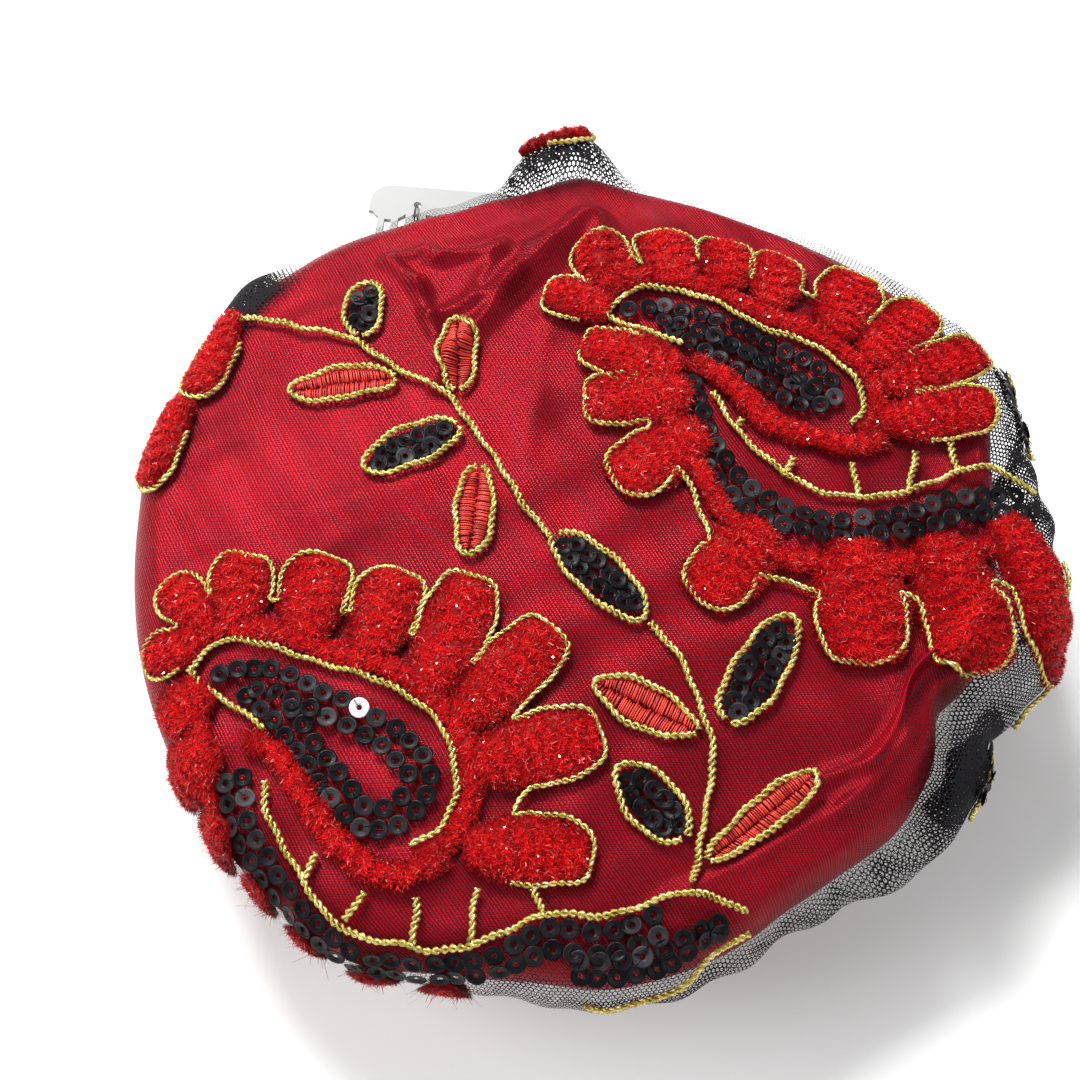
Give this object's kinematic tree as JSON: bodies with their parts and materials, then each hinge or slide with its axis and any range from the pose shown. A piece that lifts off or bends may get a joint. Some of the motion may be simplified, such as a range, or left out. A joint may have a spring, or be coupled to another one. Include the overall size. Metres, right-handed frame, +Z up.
{
  "type": "dance hat",
  "caption": "Soft round folk dance hat: padded red satin crown under a black net with chenille paisleys, gold cord vines and sequins, and a clear comb at the back.",
  "frame": {"origin": "centre of the head opening at the band's lower edge, which is also the rest plane", "axes": "+Z up through the crown, +Y to the back of the hat where the comb is, +X to the wearer's left"},
  "size_m": [0.2367, 0.2391, 0.0616],
  "materials": {
    "buckram": "matte",
    "satin": "satin",
    "sweatband": "matte",
    "lining": "satin",
    "board": "matte",
    "wadding": "matte",
    "net": "matte",
    "binding": "matte",
    "comb_plastic": "gloss",
    "thread": "matte",
    "sequin": "gloss",
    "gold_cord": "metallic thread",
    "stitch_thread": "satin",
    "chenille": "pile with tinsel"
  },
  "bodies": {
    "hat": {"headband": "buckram", "band_cover": "satin", "sweatband": "sweatband", "crown_lining": "lining", "crown_board": "board", "crown_wadding": "wadding", "rim_wadding": "wadding", "satin_crown": "satin", "satin_under": "satin", "net_overlay": "net", "net_binding": "binding", "comb_stitches": "thread", "left_petals": "chenille", "left_petal_cord": "gold_cord", "left_drop_cord": "gold_cord", "left_drop_sequins": "sequin", "left_stem": "chenille", "left_crescent_cord": "gold_cord", "left_band_sequins": "sequin", "left_low_petals": "chenille", "right_petals": "chenille", "right_petal_cord": "gold_cord", "right_drop_cord": "gold_cord", "right_drop_sequins": "sequin", "right_stem": "chenille", "right_crescent_cord": "gold_cord", "right_band_sequins": "sequin", "right_low_petals": "chenille", "right_low_cord": "gold_cord", "vine_cord": "gold_cord", "stitched_leaves": "stitch_thread", "stitched_leaf_cord": "gold_cord", "leaf_sequins": "sequin", "sequin_leaf_cord": "gold_cord", "edge_petals": "chenille", "edge_petal_cord": "gold_cord", "edge_sequins": "sequin", "edge_cord": "gold_cord"},
    "comb": {"comb": "comb_plastic"}
  },
  "joints": [
    {"name": "comb_hinge", "type": "hinge", "parent": "hat", "child": "comb", "pos_m": [-0.01768, 0.10768, 0.02387], "axis": [0.9949, -0.1011, 0], "range_deg": [0, 25]}
  ]
}
